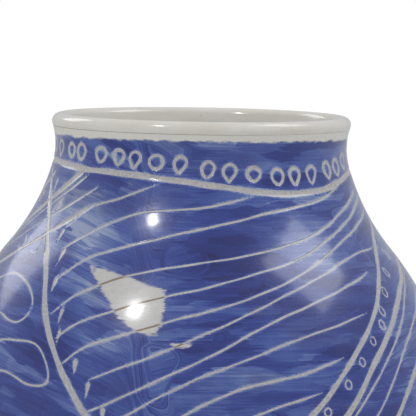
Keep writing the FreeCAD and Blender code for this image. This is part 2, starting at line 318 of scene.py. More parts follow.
LOOPS = [  # azimuth, height and size
    (-92, 165, 11), (-76, 146, 10), (-50, 132, 11), (-101, 144, 9), (-72, 122, 9), (-36, 118, 8),
    (-112, 124, 8), (86, 150, 10), (112, 158, 11), (76, 128, 9), (102, 132, 10), (128, 140, 9),
    (124, 117, 8), (60, 113, 7), (146, 122, 7),
]


def curl(azimuth, height, size, turn):
    """A wandering loop about size millimetres across."""
    radius = float(wall_at(height, OUTER_COAT)[0])
    points = []
    for step in range(9):
        angle = turn + step * 0.85
        reach = size * (0.25 + 0.11 * step) * (1 + rng.uniform(-0.12, 0.12))
        points.append((azimuth + math.degrees(reach * math.cos(angle) / radius),
                       height + 0.8 * reach * math.sin(angle)))
    scratch(points, THIN, taper=(3, 5), waver=0.25)


def loose_curls():
    for points in CURLS:
        scratch(points, THIN, taper=(3, 4), waver=0.2)
    for azimuth, height, size in LOOPS:
        curl(azimuth, height, size, rng.uniform(0, 2 * math.pi))


# the belt under the petals, and the long leaves below it down to the foot

BELT_TOP = 99.0
BELT_BOTTOM = 84.0
BELT_RINGS = 44
LEAVES = 13
LEAF_TOP = 80.0
LEAF_BOTTOM = 25.0
FOOT_LINE = 18.0


def wavering_line(height, width, sway):
    turns = np.arange(-180, 180, 24)
    points = []
    for turn in turns:
        rise = sway * math.sin(math.radians(2 * turn) + height) + rng.normal(0, sway / 4)
        points.append((float(turn), height + rise))
    scratch(points + [(points[0][0] + 360, points[0][1])], width, waver=0.15)


def belt():
    wavering_line(BELT_TOP, WIDE, 0.9)
    wavering_line(BELT_BOTTOM, BROAD, 0.7)
    for number in range(BELT_RINGS):
        azimuth = -180 + 360 / BELT_RINGS * (number + rng.uniform(-0.12, 0.12))
        ring(azimuth, (BELT_TOP + BELT_BOTTOM) / 2 + rng.uniform(-0.6, 0.6), rng.uniform(4.2, 5.2),
             rng.uniform(4.6, 5.6), rng.uniform(1.0, 1.2), pointed=rng.choice([0.0, 0.5]))


def long_leaf(azimuth):
    """A tall pointed leaf with a middle line and short side veins."""
    half = 360 / LEAVES * 0.4
    for side in (-1, 1):
        scratch([(azimuth, LEAF_TOP), (azimuth + side * half, LEAF_TOP - 17),
                 (azimuth + side * half * 0.86, LEAF_TOP - 33), (azimuth, LEAF_BOTTOM)], 1.25, taper=(3, 8))
    middle = [(azimuth, LEAF_TOP - 7), (azimuth + rng.uniform(-1, 1), LEAF_TOP - 28),
              (azimuth, LEAF_BOTTOM + 10)]
    scratch(middle, THIN, taper=(3, 6))
    for step in range(5):
        height = LEAF_TOP - 15 - 7.5 * step
        for side in (-1, 1):
            scratch([(azimuth + side * half * 0.12, height), (azimuth + side * half * 0.45, height + 3.2),
                     (azimuth + side * half * 0.7, height + 5.6)], THIN * 0.9, taper=(1.5, 4), waver=0.05)


def lower_body():
    for number in range(LEAVES):
        azimuth = -180 + 360 / LEAVES * (number + 0.5)
        long_leaf(azimuth)
        tear(azimuth + 180 / LEAVES, LEAF_TOP - 2, 7.0, 1.8)
        tear(azimuth + 180 / LEAVES, LEAF_BOTTOM + 14, 6.0, 1.6)
    wavering_line(FOOT_LINE, BROAD, 0.4)


neck_band()
petal(0, 0.0)
petal(176, 0.9)
loose_curls()
belt()
lower_body()

LINE_AZIMUTH = np.concatenate([line[0] for line in lines])
LINE_HEIGHT = np.concatenate([line[1] for line in lines])
LINE_HALF = np.concatenate([line[2] for line in lines])
LINE_PLACE = outer_points(LINE_AZIMUTH, LINE_HEIGHT, coat_lift(LINE_HEIGHT))[0] / MM


def line_tree():
    tree = mathutils.kdtree.KDTree(len(LINE_PLACE))
    for index, place in enumerate(LINE_PLACE):
        tree.insert(place, index)
    tree.balance()
    return tree


LINE_TREE = line_tree()
NEAR_LINES = 5


def nearest_line(places):
    """For each place in millimetres: distance to the nearest line's edge, its half width, and the way out."""
    edge = np.empty(len(places))
    half = np.empty(len(places))
    away = np.empty((len(places), 3))
    for index, place in enumerate(places):
        found = LINE_TREE.find_n(place, NEAR_LINES)
        centre, sample, distance = min(found, key=lambda hit: hit[2] - LINE_HALF[hit[1]])
        edge[index] = distance - LINE_HALF[sample]
        half[index] = LINE_HALF[sample]
        away[index] = (place - np.array(centre)) / max(distance, 1e-6)
    return edge, half, away


def line_rows():
    """Mesh points beside every line: its middle, its edges and the level surface next to them."""
    azimuths, heights = [], []
    for azimuth, height, half in lines:
        radius, slope = wall_at(height, OUTER_COAT)
        across = np.gradient(np.radians(azimuth)) * radius
        along = np.gradient(along_of(height))
        length = np.maximum(np.hypot(across, along), 1e-9)
        side_across, side_along = -along / length, across / length
        for share, extra in ((0, 0), (1, 0), (-1, 0), (1, 0.3), (-1, -0.3), (1, 1.0), (-1, -1.0)):
            shift = share * half + extra
            azimuths.append(azimuth + np.degrees(side_across * shift / radius))
            heights.append(height_of(along_of(height) + side_along * shift))
    return np.concatenate(azimuths), np.concatenate(heights)


# ---- listed variation in the slip ----------------------------------------------------------------------

BARE_PATCH = [(-32, 184), (-22, 182), (-14, 179.5), (-8.5, 178), (-8.5, 168), (-9.5, 164.5), (-12.5, 164),
              (-19, 168.5), (-24, 175)]
PALE_SMEAR = [(-6, 162.2), (-1.5, 162.4), (-1.8, 161.2), (-5.5, 161.2)]

WASHES = [  # azimuth, height, half width and half height in millimetres, lean, strength: pale is positive
    (-46, 203, 20, 12, -0.5, 0.75),
    (-38, 192, 16, 10, -0.6, 0.6),
    (-30, 180, 12, 10, -0.8, 0.7),
    (-15, 193, 20, 5, 0.2, -0.25),
    (-4, 188, 22, 7, 0.1, -0.8),
    (-12, 205, 16, 4, 0.1, -0.7),
    (12, 190, 18, 8, 0.1, -0.7),
    (27, 200, 12, 6, 0.3, 0.45),
    (36, 192, 12, 8, 0.3, 0.4),
    (-24, 163, 14, 5, -0.4, 0.5),
    (-36, 158, 9, 6, 0.0, -0.6),
    (4, 165, 20, 10, 0.3, -0.35),
    (10, 150, 26, 7, 0.2, 0.25),
    (-56, 168, 14, 10, -0.7, 0.3),
    (38, 163, 12, 12, 0.4, -0.3),
    (64, 160, 10, 12, 0.4, 0.2),
    (-62, 150, 14, 8, -0.6, -0.35),
]


def inside_distance(points, azimuth, height):
    """Distance into a given outline in millimetres, positive inside it."""
    radius = float(wall_at(points[0][1], OUTER_COAT)[0])
    corners = np.array([(math.radians(a) * radius, float(along_of(h))) for a, h in points])
    x, y = np.radians(azimuth) * radius, along_of(height)
    nearest = np.full(len(x), np.inf)
    inside = np.zeros(len(x), bool)
    for (ax, ay), (bx, by) in zip(corners, np.roll(corners, -1, axis=0)):
        dx, dy = bx - ax, by - ay
        share = np.clip(((x - ax) * dx + (y - ay) * dy) / (dx * dx + dy * dy), 0, 1)
        nearest = np.minimum(nearest, np.hypot(x - ax - share * dx, y - ay - share * dy))
        crosses = (ay > y) != (by > y)
        inside ^= crosses & (x < (bx - ax) * (y - ay) / (by - ay + 1e-12) + ax)
    return np.where(inside, nearest, -nearest)


def wrapped(azimuth):
    return (azimuth + 180) % 360 - 180


def wash_at(azimuth, height):
    total = np.zeros(len(azimuth))
    for middle, level, across, upright, lean, strength in WASHES:
        radius = float(wall_at(level, OUTER_COAT)[0])
        x = np.radians(wrapped(azimuth - middle)) * radius
        y = along_of(height) - along_of(level)
        total += strength * np.exp(-(x / across) ** 2 - ((y - lean * x) / upright) ** 2)
    return total


# ---- the coloured coat ---------------------------------------------------------------------------------

SECTORS = {"front": 0, "right": 90, "back": 180, "left": 270}
SECTOR_SPAN = 90.0
FLAT_RADIUS = 75.0           # radius that turns azimuth into a flat distance for the triangulation
GRID = 2.6
SIDE_SPACING = 0.45
END_SPACING = 1.3
CLEAR_OF_LINES = 1.5
CLEAR_OF_SIDES = 0.25
INNER_GRID = 9.0
SAME_POINT = 0.22            # line points nearer than about this are merged, where lines cross
INSIDE_ONLY = 1              # the triangulation keeps the triangles inside the border
MERGE_WITHIN = 1e-5
GROOVE_DEPTH = 0.05          # depth of the thinnest line
GROOVE_DEPTH_SHARE = 0.1     # what each millimetre of half width adds to it
EDGE_KNOWN = 3.0             # distances to a line are kept up to this
BARE_KNOWN = 20.0            # distances to the edge of a bare patch are kept up to this


def flat(azimuth, height, start):
    return np.stack([np.radians(azimuth - start) * FLAT_RADIUS, along_of(height)], 1)


def sector_border(width):
    """Points round the flat rectangle of a sector, in order."""
    sides = np.linspace(0, COAT_LENGTH, int(COAT_LENGTH / SIDE_SPACING) + 1)
    ends = np.linspace(0, width, int(width / END_SPACING) + 1)
    bottom = [(x, 0.0) for x in ends[:-1]]
    right = [(width, y) for y in sides[:-1]]
    top = [(x, COAT_LENGTH) for x in ends[:0:-1]]
    left = [(0.0, y) for y in sides[:0:-1]]
    return np.array(bottom + right + top + left)


def grid_points(width, spacing):
    """A staggered grid inside the rectangle."""
    rows = np.arange(spacing, COAT_LENGTH - spacing / 2, spacing * 0.87)
    points = []
    for number, y in enumerate(rows):
        shift = 0.5 * spacing * (number % 2)
        points += [(x, y) for x in np.arange(spacing / 2 + shift, width - spacing / 4, spacing)]
    return np.array(points)


def triangulated(border, inside):
    """Triangles over border and inside points.  The border comes first and keeps its order."""
    points = np.vstack([border, inside])
    ring_edges = [(index, (index + 1) % len(border)) for index in range(len(border))]
    flat_vectors = [mathutils.Vector(point) for point in points]
    _, _, faces, found, _, _ = delaunay_2d_cdt(flat_vectors, ring_edges, [], INSIDE_ONLY, MERGE_WITHIN, True)
    order = [sources[0] for sources in found]
    return points, [tuple(order[corner] for corner in face) for face in faces]


ROW_AZIMUTH, ROW_HEIGHT = line_rows()


def sector_rows(start, width):
    """The line rows that fall in one sector, thinned where lines cross."""
    azimuth = start + (ROW_AZIMUTH - start) % 360
    inner = (ROW_HEIGHT > SLIP_START + 0.3) & (ROW_HEIGHT < COAT_TOP - 0.3)
    points = flat(azimuth, ROW_HEIGHT, start)
    inner &= (points[:, 0] > CLEAR_OF_SIDES) & (points[:, 0] < width - CLEAR_OF_SIDES)
    points = points[inner]
    keys = np.round(points / SAME_POINT).astype(int)
    kept = np.unique(keys, axis=0, return_index=True)[1]
    return points[np.sort(kept)]


def groove(edge, half):
    """Depth of a scratched line and its slope, from the distance to its edge."""
    deep = GROOVE_DEPTH + GROOVE_DEPTH_SHARE * half
    share = np.clip(1 + edge / half, 0, 1)
    inside = edge < 0
    return np.where(inside, -deep * (1 - share ** 2), 0), np.where(inside, 2 * deep * share / half, 0)


def coat_sector(name, middle):
    """One quarter of the coloured coat: a thin closed shell with the drawing cut into its face."""
    start = middle - SECTOR_SPAN / 2
    width = math.radians(SECTOR_SPAN) * FLAT_RADIUS
    border = sector_border(width)
    rows = sector_rows(start, width)
    grid = grid_points(width, GRID)
    grid_height = height_of(grid[:, 1])
    grid_azimuth = start + np.degrees(grid[:, 0] / FLAT_RADIUS)
    places = outer_points(grid_azimuth, grid_height, coat_lift(grid_height))[0] / MM
    grid = grid[nearest_line(places)[0] > CLEAR_OF_LINES]
    flat_points, faces = triangulated(border, np.vstack([rows, grid]))

    azimuth = start + np.degrees(flat_points[:, 0] / FLAT_RADIUS)
    height = height_of(flat_points[:, 1])
    places, normals = outer_points(azimuth, height, coat_lift(height))
    edge, half, away = nearest_line(places / MM)
    depth, slope = groove(edge, half)
    verts = places + normals * depth[:, None] * MM
    away -= normals * np.sum(away * normals, 1)[:, None]
    shading = normals - slope[:, None] * away
    shading /= np.linalg.norm(shading, axis=1)[:, None]

    inner_flat, inner_faces = triangulated(border, grid_points(width, INNER_GRID))
    inner_azimuth = start + np.degrees(inner_flat[:, 0] / FLAT_RADIUS)
    inner_height = height_of(inner_flat[:, 1])
    inner_verts, inner_normals = outer_points(inner_azimuth, inner_height, np.zeros(len(inner_flat)))

    first = len(verts)
    count = len(border)
    sides = [(index, index + first, (index + 1) % count + first, (index + 1) % count)
             for index in range(count)]
    polygons = faces + [tuple(corner + first for corner in reversed(face)) for face in inner_faces] + sides
    mesh = bpy.data.meshes.new(name)
    mesh.from_pydata(np.vstack([verts, inner_verts]).tolist(), [], polygons)
    mesh.update()

    flat_all = np.vstack([flat_points, inner_flat])
    every = {
        "line_edge": np.concatenate([np.clip(edge, -EDGE_KNOWN, EDGE_KNOWN),
                                     np.full(len(inner_flat), EDGE_KNOWN)]),
        "azimuth": np.concatenate([azimuth, inner_azimuth]),
        "along": COAT_LENGTH - flat_all[:, 1],
        "wash": wash_at(np.concatenate([azimuth, inner_azimuth]), np.concatenate([height, inner_height])),
        "bare": np.maximum(*(inside_distance(shape, wrapped(np.concatenate([azimuth, inner_azimuth])),
                                             np.concatenate([height, inner_height]))
                             for shape in (BARE_PATCH, PALE_SMEAR))).clip(-BARE_KNOWN, BARE_KNOWN),
    }
    for label, numbers in every.items():
        mesh.attributes.new(label, "FLOAT", "POINT").data.foreach_set("value", numbers.astype(np.float32))
    shade_smooth(mesh, np.vstack([shading, -inner_normals]), len(faces) + len(inner_faces))
    cylinder_map(mesh, flat_all / (width, COAT_LENGTH), len(faces))
    piece = bpy.data.objects.new(name, mesh)
    bpy.context.scene.collection.objects.link(piece)
    return piece


def shade_smooth(mesh, vertex_normals, smooth_faces):
    """Give the first faces exact normals from the surface and leave the rest with their own."""
    mesh.shade_smooth()
    corners = np.empty(len(mesh.loops), int)
    mesh.loops.foreach_get("vertex_index", corners)
    normals = vertex_normals[corners]
    starts = np.empty(len(mesh.polygons), int)
    mesh.polygons.foreach_get("loop_start", starts)
    if smooth_faces < len(starts):
        normals[starts[smooth_faces]:] = 0
    mesh.normals_split_custom_set(normals.tolist())


def cylinder_map(mesh, unit, outer_faces):
    """Unroll the face over most of the map, with the back and the thin sides in a strip above it."""
    margin, face_top, strip_low, strip_top = 0.006, 0.94, 0.955, 0.994
    corners = np.empty(len(mesh.loops), int)
    mesh.loops.foreach_get("vertex_index", corners)
    starts = np.empty(len(mesh.polygons), int)
    mesh.polygons.foreach_get("loop_start", starts)
    uv = unit[corners]
    face_end = starts[outer_faces]
    across = margin + uv[:, 0] * (1 - 2 * margin)
    upward = margin + uv[:, 1] * (face_top - margin)
    upward[face_end:] = strip_low + uv[face_end:, 1] * (strip_top - strip_low)
    layer = mesh.uv_layers.new(name="OFBake")
    layer.data.foreach_set("uv", np.stack([across, upward], 1).ravel())


# ---- turned pieces -------------------------------------------------------------------------------------

TURN_STEPS = 288
RING_DEPTH = 0.42            # height of the ridges that the potter's fingers leave inside
CORNER = 5.0                 # rounding where the inside wall meets the floor
WOBBLING_ROWS = 16           # profile points of the white glaze that follow the outer wall's wobble
LIP_CENTRE_RADIUS = NECK_CENTRE - (NECK_CURVE + WALL / 2) * math.cos(FLARE_TURN)
LIP_CENTRE_HEIGHT = NECK_HEIGHT + (NECK_CURVE + WALL / 2) * math.sin(FLARE_TURN)
FLOOR_TOP = FOOT_HEIGHT + FLOOR_THICKNESS + LINER


def arc(centre_radius, centre_height, radius, start, end, steps):
    """Points on an arc, with angles in degrees: 0 is outwards and 90 is up."""
    angles = np.radians(np.linspace(start, end, steps))
    return list(zip(centre_radius + radius * np.cos(angles), centre_height + radius * np.sin(angles)))


def throwing_rings(height):
    """Ridges that the potter's fingers leave inside a thrown pot."""
    ridge = 0.5 + 0.5 * np.sin(height / 1.45 + 1.5 * np.sin(height / 17))
    return RING_DEPTH * ridge ** 2 * np.clip((OVERALL_HEIGHT - 8 - height) / 12, 0.12, 1)


def liner_profile():
    """The white glaze from the coat's top edge over the lip and down inside, then back within the clay."""
    rising = np.linspace(COAT_TOP, LIP_CENTRE_HEIGHT - 1.2, 6)
    outside = [(float(wall_at(z, LINER)[0]), z) for z in rising]
    turn = math.degrees(FLARE_TURN)
    cap = arc(LIP_CENTRE_RADIUS, LIP_CENTRE_HEIGHT, WALL / 2 + LINER, -turn, 180 - turn, 22)
    falling = np.arange(LIP_CENTRE_HEIGHT - 1.5, FLOOR_TOP + CORNER, -0.9)
    inside = [(float(wall_at(z, -WALL - LINER - throwing_rings(z))[0]), z) for z in falling]
    corner_radius = inside[-1][0]
    corner = arc(corner_radius - CORNER, FLOOR_TOP + CORNER, CORNER, -8, -90, 8)
    floor = [(r, FLOOR_TOP + 0.25 * (1 + math.sin(r / 2.2))) for r in np.linspace(corner_radius - 7, 0.0, 26)]
    visible = outside + cap + inside + corner + floor
    hidden_rise = np.linspace(FLOOR_TOP + 3, LIP_CENTRE_HEIGHT - 1.2, 16)
    hidden = [(0.0, FLOOR_TOP - 1), (corner_radius - 1, FLOOR_TOP - 1)]
    hidden += [(float(wall_at(z, -WALL + 1.0)[0]), z) for z in hidden_rise]
    hidden += [(float(wall_at(COAT_TOP + 0.4, -1.0)[0]), COAT_TOP + 0.4)]
    return visible, hidden


def foot_profile():
    """The bare foot: underside, foot ring and the band of clay below the coat."""
    inner_foot = FOOT_RADIUS - FOOT_WIDTH
    under = [(r, FOOT_HEIGHT + 0.1 * math.sin(r / 0.9)) for r in np.arange(0.0, inner_foot - 1.5, 0.75)]
    inner_corner = arc(inner_foot - 1.2, FOOT_HEIGHT - 1.2, 1.2, 90, 0, 5)
    inner_edge = arc(inner_foot + FOOT_EDGE, FOOT_EDGE, FOOT_EDGE, 180, 270, 7)
    outer_edge = arc(FOOT_RADIUS - FOOT_EDGE, FOOT_EDGE, FOOT_EDGE, 270, 360, 7)
    step = [(FOOT_RADIUS, FOOT_HEIGHT - 0.9), (FOOT_RADIUS + 0.25, FOOT_HEIGHT - 0.3),
            (FOOT_RADIUS + 0.9, FOOT_HEIGHT + 0.02)]
    band = [(float(wall_at(z, -0.12 * math.exp(-(z - FOOT_HEIGHT) * 1.4))[0]), z)
            for z in np.linspace(FOOT_HEIGHT + 0.1, SLIP_START + 0.8, 9)]
    top = [(band[-1][0] - 1.2, SLIP_START + 0.8), (0.0, SLIP_START + 0.8)]
    return under + inner_corner + inner_edge + outer_edge + step + band, top


def wobble_share(radius, height, outside):
    """The hand wobble belongs to the outer face and fades out over the lip."""
    return np.where(outside, np.clip((OVERALL_HEIGHT + 1.0 - height) / 4, 0, 1), 0.0)


def turned(name, visible, hidden, outer_count):
    """A closed solid of revolution.  The first outer_count points follow the wall's wobble."""
    profile = np.array(visible + hidden)
    rows = len(profile)
    turns = np.linspace(0, 360, TURN_STEPS, endpoint=False)
    outside = np.arange(rows) < outer_count
    verts, rings = [], []
    for row, (radius, height) in enumerate(profile):
        if radius < 1e-6:
            rings.append([len(verts)])
            verts.append((0.0, 0.0, height * MM))
            continue
        share = float(wobble_share(radius, height, outside[row]))
        reach = radius + share * hand_wobble(turns, height)
        rings.append(list(range(len(verts), len(verts) + TURN_STEPS)))
        verts += list(zip(reach * np.sin(np.radians(turns)) * MM, -reach * np.cos(np.radians(turns)) * MM,
                          np.full(TURN_STEPS, height * MM)))
    faces = []
    for row in range(rows):
        first, second = rings[row], rings[(row + 1) % rows]
        for step in range(TURN_STEPS):
            after = (step + 1) % TURN_STEPS
            if len(first) > 1 and len(second) > 1:
                faces.append((first[step], first[after], second[after], second[step]))
            elif len(first) > 1:
                faces.append((first[step], first[after], second[0]))
            elif len(second) > 1:
                faces.append((first[0], second[after], second[step]))
    mesh = bpy.data.meshes.new(name)
    mesh.from_pydata(verts, [], faces)
    mesh.update()
    mesh.shade_smooth()
    piece = bpy.data.objects.new(name, mesh)
    bpy.context.scene.collection.objects.link(piece)
    return piece


# ---- materials -----------------------------------------------------------------------------------------

def srgb(red, green, blue):
    """A colour given as 0 to 255 screen values, for a node socket."""
    channels = [value / 255 for value in (red, green, blue)]
    return tuple(c / 12.92 if c <= 0.04045 else ((c + 0.055) / 1.055) ** 2.4 for c in channels) + (1.0,)


class Paint:
    """A node material being built, with short ways to add the nodes it needs."""

    def __init__(self, name):
        self.material = bpy.data.materials.new(name)
        self.material.use_nodes = True
        self.tree = self.material.node_tree
        self.shader = self.tree.nodes["Principled BSDF"]

    def add(self, kind, inputs, output=0, **settings):
        node = self.tree.nodes.new(kind)
        for key, value in settings.items():
            setattr(node, key, value)
        for key, value in inputs.items():
            if isinstance(value, bpy.types.NodeSocket):
                self.tree.links.new(value, node.inputs[key])
            else:
                node.inputs[key].default_value = value
        return node.outputs[output]

    def finish(self, **inputs):
        """Set the shader's sockets, named with underscores for spaces."""
        for key, value in inputs.items():
            socket = self.shader.inputs[key.replace("_", " ")]
            if isinstance(value, bpy.types.NodeSocket):
                self.tree.links.new(value, socket)
            else:
                socket.default_value = value
        return self.material

    def calc(self, operation, first, second=0.0, third=0.0):
        return self.add("ShaderNodeMath", {0: first, 1: second, 2: third}, operation=operation)

    def place(self):
        """Position on the object in millimetres."""
        where = self.add("ShaderNodeTexCoord", {}, "Object")
        return self.add("ShaderNodeVectorMath", {0: where, "Scale": 1 / MM}, operation="SCALE")

    def parts(self, vector):
        node = self.add("ShaderNodeSeparateXYZ", {0: vector}).node
        return node.outputs[0], node.outputs[1], node.outputs[2]

    def join(self, x, y, z):
        return self.add("ShaderNodeCombineXYZ", {0: x, 1: y, 2: z})

    def stretch(self, vector, across, deep, high):
        """Scale a place so that one unit is this many millimetres along each axis."""
        return self.add("ShaderNodeVectorMath", {0: vector, 1: (1 / across, 1 / deep, 1 / high)},
                        operation="MULTIPLY")

    def noise(self, vector, detail=2.0, rough=0.5):
        return self.add("ShaderNodeTexNoise", {"Vector": vector, "Scale": 1.0, "Detail": detail,
                                               "Roughness": rough}, "Fac")

    def cells(self, vector):
        """A random number for each irregular cell."""
        colour = self.add("ShaderNodeTexVoronoi", {"Vector": vector, "Scale": 1.0}, "Color")
        return self.parts(colour)[0]

    def spots(self, vector):
        """Distance to the nearest of scattered points."""
        return self.add("ShaderNodeTexVoronoi", {"Vector": vector, "Scale": 1.0}, "Distance")

    def span(self, value, low, high, least=0.0, most=1.0):
        """Smooth step from least to most as value goes from low to high."""
        ends = {"Value": value, "From Min": low, "From Max": high, "To Min": least, "To Max": most}
        return self.add("ShaderNodeMapRange", ends, interpolation_type="SMOOTHSTEP")

    def blend(self, factor, first, second):
        return self.add("ShaderNodeMix", {0: factor, 6: first, 7: second}, 2, data_type="RGBA")

    def choose(self, factor, first, second):
        return self.add("ShaderNodeMix", {0: factor, 2: first, 3: second}, 0, data_type="FLOAT")

    def shades(self, value, *stops):
        """A colour ramp from (position, colour) pairs."""
        ramp = self.add("ShaderNodeValToRGB", {"Fac": value}).node
        elements = ramp.color_ramp.elements
        while len(elements) < len(stops):
            elements.new(0.5)
        for element, (position, colour) in zip(elements, stops):
            element.position = position
            element.color = colour
        return ramp.outputs[0]

    def known(self, name):
        """A number painted on the mesh's points."""
        return self.add("ShaderNodeAttribute", {}, "Fac", attribute_name=name)

    def relief(self, height, depth):
        """Fine surface relief.  depth is in millimetres."""
        return self.add("ShaderNodeBump", {"Height": height, "Strength": 1.0, "Distance": depth * MM})


WHITE_GLAZE = srgb(242, 238, 226)


def brush_strokes(paint, place, length, breadth, shift):
    """A random density for each of many overlapping strokes, with ends torn by the bristles."""
    moved = paint.add("ShaderNodeVectorMath", {0: place, 1: (shift, shift, shift)}, operation="ADD")
    torn = paint.noise(paint.stretch(moved, length, length, 0.55), 1.0)
    bend = paint.noise(paint.stretch(moved, 19, 19, 13), 2.0)
    x, y, z = paint.parts(moved)
    reach = paint.calc("MULTIPLY", torn, length * 0.55)
    x = paint.calc("ADD", x, reach)
    y = paint.calc("ADD", y, reach)
    z = paint.calc("MULTIPLY_ADD", bend, breadth * 1.6, z)
    return paint.cells(paint.stretch(paint.join(x, y, z), length, length, breadth))


def brush_directions(paint, place):
    """Places sheared so that strokes run level, fall or rise, each way in its own patches."""
    x, y, z = paint.parts(place)
    falling = paint.calc("ADD", paint.calc("MULTIPLY_ADD", x, 0.55, z), paint.calc("MULTIPLY", y, 0.2))
    rising = paint.calc("ADD", paint.calc("MULTIPLY_ADD", x, -0.28, z), paint.calc("MULTIPLY", y, -0.15))
    patches = paint.noise(paint.stretch(place, 34, 34, 22), 1.0)
    left = paint.span(x, -14, -22)
    fall_here = paint.calc("MAXIMUM", paint.calc("MULTIPLY", left, 0.9), paint.span(patches, 0.62, 0.66))
    level = paint.choose(paint.span(patches, 0.42, 0.38), z, rising)
    return paint.join(x, y, paint.choose(fall_here, level, falling))


def slip_shade(paint, place):
    """How thinly the slip lies: 0 is thick and dark, 1 is nearly bare."""
    led = brush_directions(paint, place)
    long_strokes = brush_strokes(paint, led, 26, 5.5, 0)
    short_strokes = brush_strokes(paint, led, 14, 3.2, 71)
    bristles = paint.noise(paint.stretch(led, 26, 26, 0.42), 2.0, 0.6)
    broad_bristles = paint.noise(paint.stretch(led, 30, 30, 1.5), 2.0)
    cloud = paint.noise(paint.stretch(place, 16, 16, 11), 3.0, 0.6)
    total = paint.calc("MULTIPLY_ADD", long_strokes, 0.36, -0.32)
    for layer, weight in ((short_strokes, 0.24), (bristles, 0.42), (broad_bristles, 0.34), (cloud, 0.34),
                          (paint.known("wash"), 0.30)):
        total = paint.calc("MULTIPLY_ADD", layer, weight, total)
    return total, bristles


def painted_coat():
    """Blue slip brushed on, scratched through to the clay, under a clear gloss glaze."""
    paint = Paint("brushed_cobalt_slip")
    place = paint.place()
    shade, bristles = slip_shade(paint, place)
    grain = paint.noise(paint.stretch(place, 0.33, 0.33, 0.33), 3.0, 0.7)
    fine = paint.noise(paint.stretch(place, 0.9, 0.9, 0.9), 3.0, 0.6)
    edge = paint.known("line_edge")

    fringe = paint.calc("MULTIPLY", paint.span(edge, 0.75, 0.05), paint.span(fine, 0.3, 0.7, 0.1, 0.4))
    shade = paint.calc("ADD", shade, fringe)
    shade = paint.calc("MULTIPLY_ADD", grain, 0.12, paint.calc("ADD", shade, -0.06))
    blue = paint.shades(shade, (0.0, srgb(4, 18, 92)), (0.28, srgb(22, 42, 128)), (0.5, srgb(46, 70, 156)),
                        (0.7, srgb(78, 102, 176)), (0.86, srgb(118, 138, 192)), (1.0, srgb(164, 176, 208)))
    purple = paint.span(paint.noise(paint.stretch(place, 24, 24, 15), 2.0), 0.52, 0.68, 0.0, 0.4)
    blue = paint.blend(purple, blue, srgb(50, 52, 124))

    torn_edge = paint.calc("MULTIPLY_ADD", grain, 0.34, paint.calc("ADD", edge, -0.13))
    line = paint.span(torn_edge, 0.09, -0.07)
    residue = paint.calc("MULTIPLY", paint.span(grain, 0.56, 0.68), 0.45)
    scratched = paint.blend(paint.span(fine, 0.3, 0.7), srgb(214, 210, 204), srgb(182, 180, 184))
    scratched = paint.blend(residue, scratched, srgb(110, 118, 150))

    streaks = paint.noise(paint.stretch(place, 5, 5, 0.8), 3.0, 0.6)
    bare_ground = paint.calc("MULTIPLY_ADD", streaks, 3.4, paint.calc("ADD", paint.known("bare"), -1.7))
    bare = paint.span(bare_ground, -0.5, 0.6)
    clay_seen = paint.blend(streaks, srgb(198, 196, 196), srgb(228, 225, 216))
    line_seen = paint.blend(bare, scratched, srgb(150, 128, 106))
    colour = paint.blend(bare, blue, clay_seen)
    colour = paint.blend(line, colour, line_seen)

    down = paint.known("along")
    x, y, z = paint.parts(place)
    ragged = paint.noise(paint.stretch(place, 3.2, 3.2, 1.6), 3.0, 0.6)
    level = paint.calc("MULTIPLY_ADD", y, -0.018, paint.calc("MULTIPLY_ADD", ragged, -2.4, down))
    white_top = paint.span(level, 2.35, 1.35)
    low = paint.calc("MULTIPLY_ADD", ragged, 2.0, z)
    clay_foot = paint.span(low, SLIP_START + 3.1, SLIP_START + 2.3)
    colour = paint.blend(white_top, colour, WHITE_GLAZE)
    colour = paint.blend(clay_foot, colour, srgb(176, 163, 140))

    ripple = paint.noise(paint.stretch(place, 4.5, 4.5, 3.0), 2.0)
    height = paint.calc("MULTIPLY_ADD", bristles, 0.22, ripple)
    gloss = paint.choose(line, paint.span(fine, 0.2, 0.8, 0.22, 0.34), 0.42)
    return paint.finish(Base_Color=colour, Roughness=gloss, IOR=1.5, Coat_Weight=0.8, Coat_Roughness=0.12,
                        Coat_IOR=1.5, Normal=paint.relief(height, 0.05))


def white_glaze():
    """Warm white glaze, browner in small random spots, with a few iron specks."""
    paint = Paint("warm_white_glaze")
    place = paint.place()
    cloud = paint.noise(paint.stretch(place, 14, 14, 7), 3.0, 0.6)
    fine = paint.noise(paint.stretch(place, 1.3, 1.3, 1.3), 3.0, 0.6)
    colour = paint.shades(cloud, (0.25, srgb(234, 228, 213)), (0.5, WHITE_GLAZE), (0.8, srgb(247, 245, 238)))
    colour = paint.blend(paint.span(fine, 0.55, 0.8, 0.0, 0.25), colour, srgb(206, 198, 182))
    specks = paint.span(paint.spots(paint.stretch(place, 6.5, 6.5, 6.5)), 0.05, 0.02)
    colour = paint.blend(paint.calc("MULTIPLY", specks, 0.5), colour, srgb(140, 118, 92))
    ripple = paint.noise(paint.stretch(place, 5, 5, 3), 2.0)
    gloss = paint.span(fine, 0.2, 0.8, 0.14, 0.24)
    return paint.finish(Base_Color=colour, Roughness=gloss, IOR=1.5, Coat_Weight=0.6, Coat_Roughness=0.08,
                        Coat_IOR=1.5, Normal=paint.relief(ripple, 0.06))


